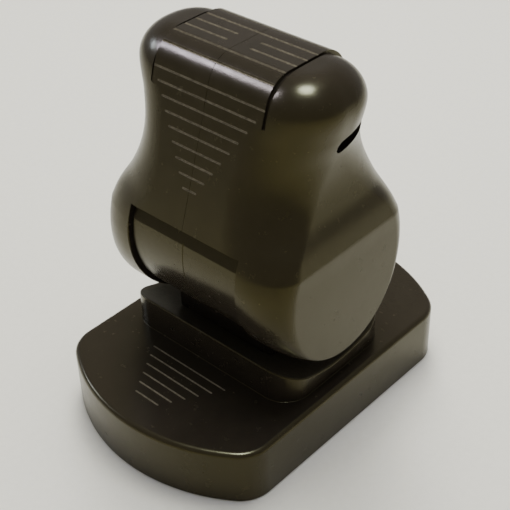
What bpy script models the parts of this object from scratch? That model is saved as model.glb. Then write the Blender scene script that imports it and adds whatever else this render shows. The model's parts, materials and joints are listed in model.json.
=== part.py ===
"""A tilting horn on a deck base, modelled as an assembly of its separate pieces.

Frame: metres, +Z up, origin at the middle of the base's underside. +X runs along the hinge
axis to the right half of the horn, and -Y is the front, where the horn's grooved face looks.
"""
import math

import bmesh
import bpy
from mathutils import Matrix, Vector

MM = 0.001
GAP = 0.3 * MM                      # clearance between pieces that rest on each other
FIT = 0.05 * MM                     # radial clearance of round pieces in their holes

# Base plate: straight sides, bowed ends, rounded plan corners.
BASE_HALF_WIDTH = 25.0 * MM
BASE_HALF_LENGTH = 37.2 * MM
BASE_END_RADIUS = 38.0 * MM
BASE_CORNER_RADIUS = 7.5 * MM
BASE_HEIGHT = 12.25 * MM
BASE_TOP_ROUND = 1.05 * MM
BASE_WALL = 3.0 * MM
BASE_CEILING = 9.0 * MM             # height of the hollow under the plate
RIB_THICKNESS = 1.8 * MM

# Pedestal on the base, with a hollow saddle along the hinge axis.
PEDESTAL_HALF = (22.2 * MM, 15.2 * MM)
PEDESTAL_CORNER = 6.0 * MM
SADDLE_RADIUS = 29.0 * MM
SADDLE_CENTRE = 44.5 * MM           # height of the saddle's centre line

# Hinge.
AXIS_HEIGHT = 38.75 * MM
PIN_RADIUS = 3.0 * MM
PIN_HALF_LENGTH = 19.2 * MM
BUSH_RADIUS = 5.0 * MM
BUSH_LENGTH = 7.5 * MM
FLANGE_RADIUS = 7.2 * MM
FLANGE_THICKNESS = 1.0 * MM
WASHER_THICKNESS = 0.6 * MM
SPRING_SHEET = 0.25 * MM
SPRING_WAVE = 0.2 * MM

# Knuckle: the barrel that the horn turns on, with a neck down into the pedestal.
BARREL_RADIUS = 18.9 * MM
BARREL_HALF_WIDTH = 12.7 * MM       # at the hub
BARREL_RIM_HALF = 13.2 * MM         # at the rim
NECK_HALF = (12.7 * MM, 10.0 * MM)
TENON_HALF = (10.5 * MM, 8.5 * MM)
TENON_BOTTOM = 11.6 * MM
CORE_RADII = (8.6 * MM, 15.2 * MM)
CORE_DEPTH = 7.7 * MM

# Horn body: a round foot about the hinge axis, tapered front and rear faces, a wider head.
HORN_RADIUS = 20.1 * MM
HORN_TOP = 76.2 * MM
HORN_TAPER = math.radians(18.4)
HEAD_ROUND_DEPTH = 8.6 * MM         # rounding of the head's top, front to rear
HEAD_ROUND_WIDTH = 6.5 * MM         # rounding of the head's top, side to side
SHELL_WALL = 2.5 * MM
SEAM = 0.15 * MM                    # half of the gap between the two shells
WINDOW_HALF_WIDTH = 13.9 * MM
WINDOW_TOP = 45.6 * MM
# Height, half-width, flat half-width of the front face, and the share of the depth
# that the plan corner rounds over. The cheeks turn in sharply at the crease.
CREASE_HEIGHT = 42.7 * MM
HORN_STATIONS = (
    (14.0 * MM, 23.3 * MM, 19.8 * MM, 0.12),
    (38.7 * MM, 23.3 * MM, 13.6 * MM, 0.29),
    (CREASE_HEIGHT, 23.4 * MM, 11.6 * MM, 0.33),
    (46.0 * MM, 22.4 * MM, 9.4 * MM, 0.38),
    (50.0 * MM, 20.9 * MM, 8.7 * MM, 0.56),
    (55.0 * MM, 20.0 * MM, 8.2 * MM, 0.75),
    (60.0 * MM, 20.35 * MM, 8.7 * MM, 0.92),
    (65.0 * MM, 21.85 * MM, 9.6 * MM, 0.95),
    (70.0 * MM, 23.0 * MM, 12.2 * MM, 0.88),
    (76.2 * MM, 22.7 * MM, 14.8 * MM, 0.94),
)

# Raised band over the head, squarer than the head's rounded ends.
BAND_HALF_WIDTH = 13.1 * MM
BAND_FOOT = 66.5 * MM
BAND_ROUND = 6.2 * MM
BAND_PROUD = 0.12 * MM

# Grip grooves.
GROOVE_WIDTH = 0.5 * MM
GROOVE_DEPTH = 0.4 * MM
FACE_GROOVES = 9
FACE_GROOVE_TOP = 71.3 * MM
FACE_GROOVE_PITCH = 2.27 * MM
FACE_GROOVE_HALF = (13.2 * MM, 1.8 * MM)
TOP_GROOVES = 5
TOP_GROOVE_FIRST = -5.25 * MM
TOP_GROOVE_PITCH = 2.74 * MM
TOP_GROOVE_HALF = 12.9 * MM
BASE_GROOVES = 6
BASE_GROOVE_FIRST = 18.9 * MM
BASE_GROOVE_PITCH = 2.25 * MM
BASE_GROOVE_HALF = (10.0 * MM, 3.2 * MM)
BASE_GROOVE_CENTRE = -1.0 * MM

# Slot round the rear of each shoulder, through the shell.
SLOT_HEIGHT = 63.1 * MM             # at its front end
SLOT_WIDTH = 3.0 * MM
SLOT_REACH = 10.0 * MM
SLOT_TILT = math.radians(13)        # it rises to the rear

# Fasteners.
# Screws of the shells: y, z and the distance of the head's seat from the seam.
SHELL_SCREWS = {"upper": (0.0, 69.0 * MM, 17.6 * MM), "lower": (-6.0 * MM, 61.8 * MM, 13.2 * MM)}
DOWEL_PLACE = (6.0 * MM, 61.8 * MM)
BOSS_RADIUS = 3.9 * MM
SHELL_SCREW_RADIUS = 1.5 * MM
SHELL_HEAD_RADIUS = 2.9 * MM
SHELL_SCREW_END = 9.0 * MM
SHELL_INSERT_RADIUS = 2.4 * MM
SHELL_INSERT_SPAN = (1.2 * MM, 8.2 * MM)
PLUG_THICKNESS = 1.6 * MM
DECK_INSERT_PLACE = (17.3 * MM, 23.6 * MM)
DECK_INSERT_RADIUS = 3.5 * MM
DECK_INSERT_BORE = 2.1 * MM
DECK_INSERT_TOP = 7.6 * MM
DECK_BOSS_RADIUS = 5.6 * MM
GASKET_THICKNESS = 1.5 * MM
CLAMP_HALF = (17.0 * MM, 13.0 * MM)
CLAMP_THICKNESS = 2.5 * MM
CLAMP_SCREW_PLACE = (6.6 * MM, 4.8 * MM)
CLAMP_SCREW_RADIUS = 2.0 * MM
CLAMP_SCREW_LENGTH = 13.0 * MM

# Detent: a sprung ball in the barrel's top, under notches in a rib of each shell.
BALL_RADIUS = 2.5 * MM
DETENT_RIB_HALF = 4.2 * MM
DETENT_STEPS = (-60, -30, 0, 30, 60)
BARREL_CLEARANCE = 0.4 * MM


def clear_scene():
    for obj in list(bpy.data.objects):
        bpy.data.objects.remove(obj, do_unlink=True)


def new_collection(name):
    coll = bpy.data.collections.new(name)
    bpy.context.scene.collection.children.link(coll)
    return coll


def new_material(name, colour, roughness, metallic=0.0):
    mat = bpy.data.materials.new(name)
    mat.use_nodes = True
    shader = mat.node_tree.nodes["Principled BSDF"]
    shader.inputs["Base Color"].default_value = (*colour, 1.0)
    shader.inputs["Roughness"].default_value = roughness
    shader.inputs["Metallic"].default_value = metallic
    mat.diffuse_color = (*colour, 1.0)
    return mat


clear_scene()
PARTS = new_collection("tilting_horn")
CUTTERS = new_collection("cutters")
BODY_PLASTIC = new_material("moulded_plastic", (0.035, 0.032, 0.024), 0.22)
ACETAL = new_material("acetal", (0.72, 0.70, 0.64), 0.4)
STAINLESS = new_material("stainless_steel", (0.62, 0.62, 0.61), 0.28, 1.0)
SPRING_STEEL = new_material("spring_steel", (0.38, 0.38, 0.40), 0.32, 1.0)
BRASS = new_material("brass", (0.72, 0.53, 0.25), 0.3, 1.0)
RUBBER = new_material("rubber", (0.02, 0.02, 0.02), 0.75)


def finish(obj, name, mat, smooth_angle=35):
    """Name an object as a finished piece, give it its material and put it among the parts."""
    obj.name = name
    obj.data.name = name
    obj.data.materials.clear()
    obj.data.materials.append(mat)
    obj.data.shade_smooth()
    obj.data.set_sharp_from_angle(angle=math.radians(smooth_angle))
    move_to(obj, PARTS)
    return obj


def move_to(obj, coll):
    for old in obj.users_collection:
        old.objects.unlink(obj)
    coll.objects.link(obj)


def as_cutter(obj, name):
    obj.name = name
    obj.hide_render = True
    obj.display_type = "WIRE"
    move_to(obj, CUTTERS)
    return obj


def boolean(obj, other, operation):
    """Add an exact Boolean of the object with a cutter."""
    mod = obj.modifiers.new(other.name, "BOOLEAN")
    mod.operation = operation
    mod.object = other
    mod.solver = "EXACT"


def from_bmesh(bm, name):
    mesh = bpy.data.meshes.new(name)
    bmesh.ops.recalc_face_normals(bm, faces=bm.faces)
    bm.to_mesh(mesh)
    bm.free()
    obj = bpy.data.objects.new(name, mesh)
    bpy.context.scene.collection.objects.link(obj)
    return obj


def box(low, high):
    """A box between two corners."""
    low, high = Vector(low), Vector(high)
    bm = bmesh.new()
    bmesh.ops.create_cube(bm, size=1.0)
    for vert in bm.verts:
        vert.co = (low + high) / 2 + Vector(a * b for a, b in zip(vert.co, high - low))
    return from_bmesh(bm, "box")


def side_box(side, low, high):
    """A box given for the right side, mirrored for the left."""
    x_low, x_high = sorted((side * low[0], side * high[0]))
    return box((x_low, *low[1:]), (x_high, *high[1:]))


def cylinder(radius, start, end, segments=32):
    """A round bar from one point to another."""
    start, end = Vector(start), Vector(end)
    turn = (end - start).to_track_quat("Z", "Y").to_matrix().to_4x4()
    bm = bmesh.new()
    bmesh.ops.create_cone(
        bm, cap_ends=True, segments=segments, radius1=radius, radius2=radius,
        depth=(end - start).length, matrix=Matrix.Translation((start + end) / 2) @ turn)
    return from_bmesh(bm, "cylinder")


def turned(profile, origin, direction, closed=False, steps=32):
    """A profile of (radius, height) points, turned about a line through the origin."""
    mesh = bpy.data.meshes.new("profile")
    edges = [(i, i + 1) for i in range(len(profile) - 1)]
    if closed:
        edges.append((len(profile) - 1, 0))
    mesh.from_pydata([(r, 0.0, h) for r, h in profile], edges, [])
    obj = bpy.data.objects.new("turned", mesh)
    bpy.context.scene.collection.objects.link(obj)
    mod = obj.modifiers.new("turn", "SCREW")
    mod.steps = mod.render_steps = steps
    mod.use_merge_vertices = True
    mod.merge_threshold = 0.00001
    obj.location = origin
    obj.rotation_mode = "QUATERNION"
    obj.rotation_quaternion = Vector(direction).to_track_quat("Z", "Y")
    return obj


def plate(outline, bottom, top):
    """A flat outline, filled and extruded between two heights, as a mesh."""
    curve = bpy.data.curves.new("outline", "CURVE")
    curve.dimensions = "2D"
    curve.fill_mode = "BOTH"
    curve.extrude = (top - bottom) / 2
    spline = curve.splines.new("POLY")
    spline.points.add(len(outline) - 1)
    for point, (x, y) in zip(spline.points, outline):
        point.co = (x, y, 0.0, 1.0)
    spline.use_cyclic_u = True
    flat = bpy.data.objects.new("outline", curve)
    bpy.context.scene.collection.objects.link(flat)
    bpy.context.view_layer.update()
    seen = flat.evaluated_get(bpy.context.evaluated_depsgraph_get())
    bm = bmesh.new()
    bm.from_mesh(bpy.data.meshes.new_from_object(seen))
    bpy.data.objects.remove(flat, do_unlink=True)
    bmesh.ops.remove_doubles(bm, verts=bm.verts, dist=0.000001)
    bmesh.ops.translate(bm, verts=bm.verts, vec=(0.0, 0.0, (bottom + top) / 2))
    return from_bmesh(bm, "plate")


def arc(centre, radius, start, end, count):
    """Points along an arc in the plane, angles in radians."""
    angles = [start + (end - start) * i / (count - 1) for i in range(count)]
    return [(centre[0] + radius * math.cos(a), centre[1] + radius * math.sin(a)) for a in angles]


def rounded_rectangle(half_x, half_y, radius, count=7):
    points = []
    for quarter, (sx, sy) in enumerate(((1, 1), (-1, 1), (-1, -1), (1, -1))):
        centre = (sx * (half_x - radius), sy * (half_y - radius))
        start = quarter * math.pi / 2
        points += arc(centre, radius, start, start + math.pi / 2, count)
    return points


def base_outline(inset=0.0):
    """The base's plan: each corner arc touches a straight side and a bowed end."""
    corner = BASE_CORNER_RADIUS
    corner_x = BASE_HALF_WIDTH - corner
    end_y = BASE_HALF_LENGTH - BASE_END_RADIUS
    corner_y = end_y + math.sqrt((BASE_END_RADIUS - corner) ** 2 - corner_x ** 2)
    lean = math.atan2(corner_y - end_y, corner_x)
    rear = arc((corner_x, corner_y), corner - inset, 0.0, lean, 5)
    rear += arc((0.0, end_y), BASE_END_RADIUS - inset, lean, math.pi - lean, 12)[1:-1]
    rear += arc((-corner_x, corner_y), corner - inset, math.pi - lean, math.pi, 5)
    return rear + [(-x, -y) for x, y in rear]


def weigh_edges(obj, chosen, width, segments):
    """Round the edges that pass the test with a weighted Bevel."""
    weights = obj.data.attributes.new("bevel_weight_edge", "FLOAT", "EDGE")
    for edge in obj.data.edges:
        ends = [obj.data.vertices[i].co for i in edge.vertices]
        weights.data[edge.index].value = 1.0 if chosen(*ends) else 0.0
    mod = obj.modifiers.new("rounding", "BEVEL")
    mod.limit_method = "WEIGHT"
    mod.width = width
    mod.segments = segments


def loft(rings):
    """A closed skin over rings of equal count, with a flat cap at each end."""
    bm = bmesh.new()
    rows = [[bm.verts.new(point) for point in ring] for ring in rings]
    for low, high in zip(rows, rows[1:]):
        for i in range(len(low)):
            j = (i + 1) % len(low)
            bm.faces.new((low[i], low[j], high[j], high[i]))
    bm.faces.new(rows[0])
    bm.faces.new(rows[-1])
    return from_bmesh(bm, "loft")


def station_value(height, column):
    """Smooth cubic interpolation of one column of the horn's stations."""
    last = len(HORN_STATIONS) - 2
    i = max(k for k in range(last + 1) if k == 0 or HORN_STATIONS[k][0] <= height)
    z0, z1 = HORN_STATIONS[i][0], HORN_STATIONS[i + 1][0]
    v0, v1 = HORN_STATIONS[i][column], HORN_STATIONS[i + 1][column]

    def slope(k, upward):
        low, high = max(k - 1, 0), min(k + 1, last + 1)
        if HORN_STATIONS[k][0] == CREASE_HEIGHT:
            low, high = (k, high) if upward else (low, k)
        low, high = HORN_STATIONS[low], HORN_STATIONS[high]
        return (high[column] - low[column]) / (high[0] - low[0])

    t = min((height - z0) / (z1 - z0), 1.0)
    span = z1 - z0
    return (v0 * (2 * t ** 3 - 3 * t ** 2 + 1) + v1 * (3 * t ** 2 - 2 * t ** 3)
            + span * slope(i, True) * (t ** 3 - 2 * t ** 2 + t)
            + span * slope(i + 1, False) * (t ** 3 - t ** 2))


def drop(height, top, radius):
    """How far a rounding of this radius has drawn the side in at a height below the top."""
    rise = max(height - (top - radius), 0.0)
    return radius - math.sqrt(max(radius ** 2 - rise ** 2, 0.0))


def horn_depth(height, inset=0.0, top=HORN_TOP, rounding=HEAD_ROUND_DEPTH):
    """Half-depth of the horn: a circle about the axis, a tapered line, an arc over to the top."""
    radius = HORN_RADIUS - inset
    rounding -= inset
    rise = height - AXIS_HEIGHT
    if rise < radius * math.sin(HORN_TAPER):
        return math.sqrt(max(radius ** 2 - rise ** 2, 0.0))
    arc_rise = top - inset - rounding - AXIS_HEIGHT
    if rise < arc_rise + rounding * math.sin(HORN_TAPER):
        return (radius - rise * math.sin(HORN_TAPER)) / math.cos(HORN_TAPER)
    arc_depth = (radius - rounding - arc_rise * math.sin(HORN_TAPER)) / math.cos(HORN_TAPER)
    return arc_depth + math.sqrt(max(rounding ** 2 - (rise - arc_rise) ** 2, 0.0))


def horn_ring(height, inset, count=7):
    """One level section of the horn, drawn in by the inset, with elliptical plan corners."""
    depth = horn_depth(height, inset)
    width = station_value(height, 1) - inset - drop(height, HORN_TOP - inset, HEAD_ROUND_WIDTH)
    flat = min(station_value(height, 2) - inset / 3, width - 1.5 * MM)
    corner = depth * min(station_value(height, 3), 0.97)
    ring = []
    for quarter, (sx, sy) in enumerate(((1, 1), (-1, 1), (-1, -1), (1, -1))):
        for i in range(count):
            angle = (quarter + i / (count - 1)) * math.pi / 2
            x = sx * flat + (width - flat) * math.cos(angle)
            y = sy * (depth - corner) + corner * math.sin(angle)
            ring.append((x, y, height))
    return ring


def horn_solid(inset=0.0, levels=14, foot_steps=9, count=7):
    """The horn's outer form, or its hollow when an inset is given."""
    radius = HORN_RADIUS - inset
    foot = [AXIS_HEIGHT - radius * math.cos(math.radians(9 + 81 * i / foot_steps))
            for i in range(foot_steps)]
    top = HORN_TOP - inset
    shoulder = top - HEAD_ROUND_DEPTH
    upper = [AXIS_HEIGHT + (shoulder - AXIS_HEIGHT) * i / levels for i in range(levels)]
    crown = [shoulder + HEAD_ROUND_DEPTH * math.sin(math.radians(84 * i / 6)) for i in range(7)]
    return loft([horn_ring(height, inset, count) for height in foot + upper + crown + [top]])


def band_solid():
    """The raised band: the head's front-to-rear profile with tighter corners."""
    top = HORN_TOP + BAND_PROUD
    arc_start = math.degrees(HORN_TAPER)
    angles = [math.radians(arc_start + (90 - arc_start) * i / 7) for i in range(8)]
    steps = [BAND_FOOT] + [top - BAND_ROUND + BAND_ROUND * math.sin(angle) for angle in angles]
    front = [(-horn_depth(z, top=top, rounding=BAND_ROUND) - BAND_PROUD, z) for z in steps]
    outline = front + [(-y, z) for y, z in reversed(front)]
    rings = [[(side * BAND_HALF_WIDTH, y, z) for y, z in outline] for side in (-1, 1)]
    return loft(rings)


def along_x(radius, x_start, x_end, place, segments=32):
    """A round bar along X at a (y, z) place."""
    return cylinder(radius, (x_start, *place), (x_end, *place), segments)


# ---------------------------------------------------------------- base

def groove_box(half_length, centre, tilt):
    """A groove's cutter: a thin bar along X, leaning back by the tilt."""
    obj = box((-half_length, -GROOVE_DEPTH, -GROOVE_WIDTH / 2),
              (half_length, GROOVE_DEPTH, GROOVE_WIDTH / 2))
    place = Matrix.Translation(centre) @ Matrix.Rotation(tilt, 4, "X")
    obj.data.transform(place)
    return obj


def merged(objects, name):
    """Join separate cutters that don't meet into one cutter object."""
    bm = bmesh.new()
    for obj in objects:
        bm.from_mesh(obj.data)
        bpy.data.objects.remove(obj, do_unlink=True)
    return as_cutter(from_bmesh(bm, name), name)


def tapered_lengths(limits, count):
    """Half-lengths of grooves that shorten evenly to the last."""
    first, last = limits
    return [first + (last - first) * i / (count - 1) for i in range(count)]


def corners(place):
    """The four places at plus and minus a pair of offsets, with a name for each."""
    x, y = place
    return {"front_left": (-x, -y), "front_right": (x, -y), "rear_left": (-x, y), "rear_right": (x, y)}


def make_base():
    base = plate(base_outline(), 0.0, BASE_HEIGHT)
    top_edge = BASE_HEIGHT - 0.1 * MM
    weigh_edges(base, lambda a, b: a.z > top_edge and b.z > top_edge, BASE_TOP_ROUND, 3)

    pedestal = as_cutter(plate(rounded_rectangle(*PEDESTAL_HALF, PEDESTAL_CORNER), BASE_CEILING + MM,
                               AXIS_HEIGHT - MM), "pedestal_block")
    saddle = as_cutter(along_x(SADDLE_RADIUS, -30 * MM, 30 * MM, (0.0, SADDLE_CENTRE), 80), "saddle_bore")
    boolean(pedestal, saddle, "DIFFERENCE")
    above = as_cutter(box((-30 * MM, -20 * MM, AXIS_HEIGHT - 16 * MM), (30 * MM, 20 * MM, 60 * MM)),
                      "pedestal_limit")
    boolean(pedestal, above, "DIFFERENCE")
    boolean(base, pedestal, "UNION")

    hollow = as_cutter(plate(base_outline(BASE_WALL), -MM, BASE_CEILING), "base_hollow")
    keep_from = GASKET_THICKNESS + GAP
    for name, (x, y) in corners(DECK_INSERT_PLACE).items():
        boss = as_cutter(cylinder(DECK_BOSS_RADIUS, (x, y, keep_from), (x, y, BASE_HEIGHT), 24),
                         "boss_" + name)
        boolean(hollow, boss, "DIFFERENCE")
    for side in (-1, 1):
        y = side * DECK_INSERT_PLACE[1]
        cross = box((-30 * MM, y - RIB_THICKNESS / 2, keep_from),
                    (30 * MM, y + RIB_THICKNESS / 2, BASE_HEIGHT))
        boolean(hollow, as_cutter(cross, "cross_rib"), "DIFFERENCE")
        x = side * DECK_INSERT_PLACE[0]
        rail = box((x - RIB_THICKNESS / 2, -40 * MM, keep_from),
                   (x + RIB_THICKNESS / 2, 40 * MM, BASE_HEIGHT))
        boolean(hollow, as_cutter(rail, "long_rib"), "DIFFERENCE")
    boolean(base, hollow, "DIFFERENCE")

    room = 1.0 * MM
    pocket = as_cutter(box((-CLAMP_HALF[0] - room, -CLAMP_HALF[1] - room, -MM),
                           (CLAMP_HALF[0] + room, CLAMP_HALF[1] + room, TENON_BOTTOM)), "clamp_pocket")
    boolean(base, pocket, "DIFFERENCE")
    mortise = as_cutter(box((-TENON_HALF[0] - GAP, -TENON_HALF[1] - GAP, 5 * MM),
                            (TENON_HALF[0] + GAP, TENON_HALF[1] + GAP, 25 * MM)), "mortise")
    boolean(base, mortise, "DIFFERENCE")
    holes = [cylinder(DECK_INSERT_RADIUS + FIT, (x, y, -MM), (x, y, DECK_INSERT_TOP + GAP), 24)
             for x, y in corners(DECK_INSERT_PLACE).values()]
    boolean(base, merged(holes, "insert_holes"), "DIFFERENCE")

    grooves = []
    for i, half in enumerate(tapered_lengths(BASE_GROOVE_HALF, BASE_GROOVES)):
        y = -(BASE_GROOVE_FIRST + BASE_GROOVE_PITCH * i)
        grooves.append(groove_box(half, (BASE_GROOVE_CENTRE, y, BASE_HEIGHT), math.pi / 2))
    boolean(base, merged(grooves, "base_grooves"), "DIFFERENCE")
    return finish(base, "base_plate", BODY_PLASTIC)


def make_gasket():
    gasket = plate(base_outline(BASE_WALL + GAP), 0.0, GASKET_THICKNESS)
    holes = [cylinder(DECK_INSERT_RADIUS + GAP, (x, y, -MM), (x, y, 3 * MM), 24)
             for x, y in corners(DECK_INSERT_PLACE).values()]
    boolean(gasket, merged(holes, "gasket_holes"), "DIFFERENCE")
    return finish(gasket, "deck_gasket", RUBBER)


def make_deck_inserts():
    half_height = (DECK_INSERT_TOP - GAP) / 2
    groove = 0.5 * MM
    outer = [(DECK_INSERT_RADIUS, half_height), (DECK_INSERT_RADIUS, groove),
             (DECK_INSERT_RADIUS - groove, groove), (DECK_INSERT_RADIUS - groove, -groove),
             (DECK_INSERT_RADIUS, -groove), (DECK_INSERT_RADIUS, -half_height)]
    profile = outer + [(DECK_INSERT_BORE, -half_height), (DECK_INSERT_BORE, half_height)]
    for name, (x, y) in corners(DECK_INSERT_PLACE).items():
        ring = turned(profile, (x, y, GAP + half_height), (0, 0, 1), closed=True, steps=16)
        finish(ring, "deck_insert_" + name, BRASS)


# ---------------------------------------------------------------- knuckle

def make_knuckle():
    axis = (0.0, AXIS_HEIGHT)
    barrel = along_x(BARREL_RADIUS, -BARREL_RIM_HALF, BARREL_RIM_HALF, axis, 64)
    neck = as_cutter(box((-NECK_HALF[0] + GAP, -NECK_HALF[1], 8 * MM),
                         (NECK_HALF[0] - GAP, NECK_HALF[1], AXIS_HEIGHT)), "neck_block")
    seat = as_cutter(along_x(SADDLE_RADIUS - GAP, -20 * MM, 20 * MM, (0.0, SADDLE_CENTRE), 80), "neck_seat")
    boolean(neck, seat, "INTERSECT")
    boolean(barrel, neck, "UNION")
    tenon = as_cutter(box((-TENON_HALF[0], -TENON_HALF[1], TENON_BOTTOM + GAP),
                          (TENON_HALF[0], TENON_HALF[1], AXIS_HEIGHT - 12 * MM)), "tenon_block")
    boolean(barrel, tenon, "UNION")
    for side in (-1, 1):
        start = side * (BARREL_HALF_WIDTH - CORE_DEPTH)
        core = as_cutter(along_x(CORE_RADII[1], start, side * 20 * MM, axis, 48), "barrel_core")
        hub = as_cutter(along_x(CORE_RADII[0], side * 2 * MM, side * BARREL_HALF_WIDTH, axis, 32),
                        "barrel_hub")
        boolean(core, hub, "DIFFERENCE")
        boolean(barrel, core, "DIFFERENCE")
    bore = as_cutter(along_x(BUSH_RADIUS + FIT, -20 * MM, 20 * MM, axis, 48), "bush_bore")
    boolean(barrel, bore, "DIFFERENCE")
    well = cylinder(BALL_RADIUS + FIT, (0, 0, AXIS_HEIGHT + BUSH_RADIUS + 2 * MM),
                    (0, 0, AXIS_HEIGHT + 25 * MM), 24)
    boolean(barrel, as_cutter(well, "detent_well"), "DIFFERENCE")
    pilots = [cylinder(CLAMP_SCREW_RADIUS + FIT, (x, y, 5 * MM),
                       (x, y, TENON_BOTTOM + CLAMP_SCREW_LENGTH - 2 * MM), 16)
              for x, y in corners(CLAMP_SCREW_PLACE).values()]
    boolean(barrel, merged(pilots, "clamp_pilots"), "DIFFERENCE")
    return finish(barrel, "knuckle", BODY_PLASTIC)


def make_clamp():
    top = TENON_BOTTOM - GAP
    clamp = plate(rounded_rectangle(*CLAMP_HALF, 3 * MM, 4), top - CLAMP_THICKNESS, top)
    holes = [cylinder(CLAMP_SCREW_RADIUS + GAP, (x, y, 5 * MM), (x, y, 15 * MM), 16)
             for x, y in corners(CLAMP_SCREW_PLACE).values()]
    boolean(clamp, merged(holes, "clamp_holes"), "DIFFERENCE")
    finish(clamp, "clamp_plate", STAINLESS)
    seat = top - CLAMP_THICKNESS - GAP
    for name, (x, y) in corners(CLAMP_SCREW_PLACE).items():
        screw = make_screw(CLAMP_SCREW_RADIUS, 3.6 * MM, 2.4 * MM, CLAMP_SCREW_LENGTH,
                           (x, y, seat), (0, 0, -1))
        finish(screw, "clamp_screw_" + name, STAINLESS)


def make_screw(radius, head_radius, head_height, length, seat, outward):
    """A socket-head screw: its head stands outward from the seat, its shank the other way."""
    profile = [(0.0, head_height), (head_radius * 0.85, head_height), (head_radius, head_height * 0.7),
               (head_radius, 0.0), (radius, 0.0), (radius, -length + radius / 2),
               (radius / 2, -length), (0.0, -length)]
    screw = turned(profile, seat, outward, steps=16)
    socket = cylinder(head_radius * 0.5, (0, 0, head_height * 0.4), (0, 0, head_height * 2), 6)
    socket.location = screw.location
    socket.rotation_mode = "QUATERNION"
    socket.rotation_quaternion = screw.rotation_quaternion
    boolean(screw, as_cutter(socket, "hex_socket"), "DIFFERENCE")
    return screw


# ---------------------------------------------------------------- hinge

def make_hinge():
    axis = (0.0, 0.0, AXIS_HEIGHT)
    chamfer = 0.5 * MM
    end = PIN_HALF_LENGTH
    pin = [(0.0, end), (PIN_RADIUS - chamfer, end), (PIN_RADIUS, end - chamfer),
           (PIN_RADIUS, chamfer - end), (PIN_RADIUS - chamfer, -end), (0.0, -end)]
    finish(turned(pin, axis, (1, 0, 0), steps=32), "hinge_pin", STAINLESS)

    bore = PIN_RADIUS + FIT
    flange_from = BARREL_HALF_WIDTH + FIT
    flange_to = flange_from + FLANGE_THICKNESS
    bush = [(FLANGE_RADIUS, flange_to), (FLANGE_RADIUS, flange_from), (BUSH_RADIUS, flange_from),
            (BUSH_RADIUS, flange_from - BUSH_LENGTH), (bore, flange_from - BUSH_LENGTH), (bore, flange_to)]
    washer_from = flange_to + FIT
    washer_to = washer_from + WASHER_THICKNESS
    outer = FLANGE_RADIUS - 0.3 * MM
    washer = [(outer, washer_to), (outer, washer_from), (bore, washer_from), (bore, washer_to)]
    spring_at = washer_to + FIT + SPRING_WAVE + SPRING_SHEET / 2
    for side, name in ((-1, "left"), (1, "right")):
        outward = (side, 0, 0)
        finish(turned(bush, axis, outward, closed=True, steps=32), "hinge_bush_" + name, ACETAL)
        finish(turned(washer, axis, outward, closed=True, steps=24), "thrust_washer_" + name, STAINLESS)
        spring = wave_ring(bore + GAP, outer - GAP, SPRING_WAVE)
        spring.location = (side * spring_at, 0, AXIS_HEIGHT)
        spring.rotation_euler = (0, math.pi / 2, 0)
        finish(spring, "wave_spring_" + name, SPRING_STEEL)


def wave_ring(inner, outer, wave, waves=3, steps=24):
    """A ring of thin sheet that rises and falls three times round."""
    bm = bmesh.new()
    rows = []
    for radius in (inner, outer):
        angles = [2 * math.pi * i / steps for i in range(steps)]
        rows.append([bm.verts.new((radius * math.cos(a), radius * math.sin(a), wave * math.cos(waves * a)))
                     for a in angles])
    for i in range(steps):
        j = (i + 1) % steps
        bm.faces.new((rows[0][i], rows[1][i], rows[1][j], rows[0][j]))
    ring = from_bmesh(bm, "wave_ring")
    mod = ring.modifiers.new("sheet", "SOLIDIFY")
    mod.thickness = SPRING_SHEET
    mod.offset = 0.0
    return ring


def make_detent():
    """The ball stands just under the notches, on its coil spring in the barrel."""
    ball_z = AXIS_HEIGHT + BARREL_RADIUS - BALL_RADIUS + 0.2 * MM
    bm = bmesh.new()
    bmesh.ops.create_uvsphere(bm, u_segments=16, v_segments=9, radius=BALL_RADIUS,
                              matrix=Matrix.Translation((0, 0, ball_z)))
    finish(from_bmesh(bm, "ball"), "detent_ball", STAINLESS, 60)

    wire = 0.35 * MM
    coil_radius = BALL_RADIUS - wire - 0.2 * MM
    low = AXIS_HEIGHT + BUSH_RADIUS + 2 * MM + wire + GAP
    high = ball_z - BALL_RADIUS * 0.75 - wire - GAP
    turns, per_turn = 4, 10
    count = int(turns * per_turn) + 1
    curve = bpy.data.curves.new("coil", "CURVE")
    curve.dimensions = "3D"
    curve.bevel_depth = wire
    curve.bevel_resolution = 1
    curve.use_fill_caps = True
    spline = curve.splines.new("POLY")
    spline.points.add(count - 1)
    for i, point in enumerate(spline.points):
        turn = 2 * math.pi * i / per_turn
        height = low + (high - low) * i / (count - 1)
        point.co = (coil_radius * math.cos(turn), coil_radius * math.sin(turn), height, 1.0)
    coil = bpy.data.objects.new("coil", curve)
    bpy.context.scene.collection.objects.link(coil)
    bpy.context.view_layer.update()
    seen = coil.evaluated_get(bpy.context.evaluated_depsgraph_get())
    bm = bmesh.new()
    bm.from_mesh(bpy.data.meshes.new_from_object(seen))
    bpy.data.objects.remove(coil, do_unlink=True)
    bmesh.ops.remove_doubles(bm, verts=bm.verts, dist=0.000001)
    finish(from_bmesh(bm, "coil"), "detent_spring", SPRING_STEEL, 60)


# ---------------------------------------------------------------- horn

def shell_boss(side, x_start, x_end, place, radius):
    return as_cutter(along_x(radius, side * x_start, side * x_end, place, 24), "shell_boss")


def window_cutters():
    """What the barrel and the neck need clear between the cheeks."""
    half = WINDOW_HALF_WIDTH
    drum = along_x(BARREL_RADIUS + BARREL_CLEARANCE, -half, half, (0.0, AXIS_HEIGHT), 64)
    opening = box((-half, -30 * MM, 0.0), (half, 30 * MM, WINDOW_TOP))
    return [as_cutter(drum, "window_drum"), as_cutter(opening, "window_opening")]


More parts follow.
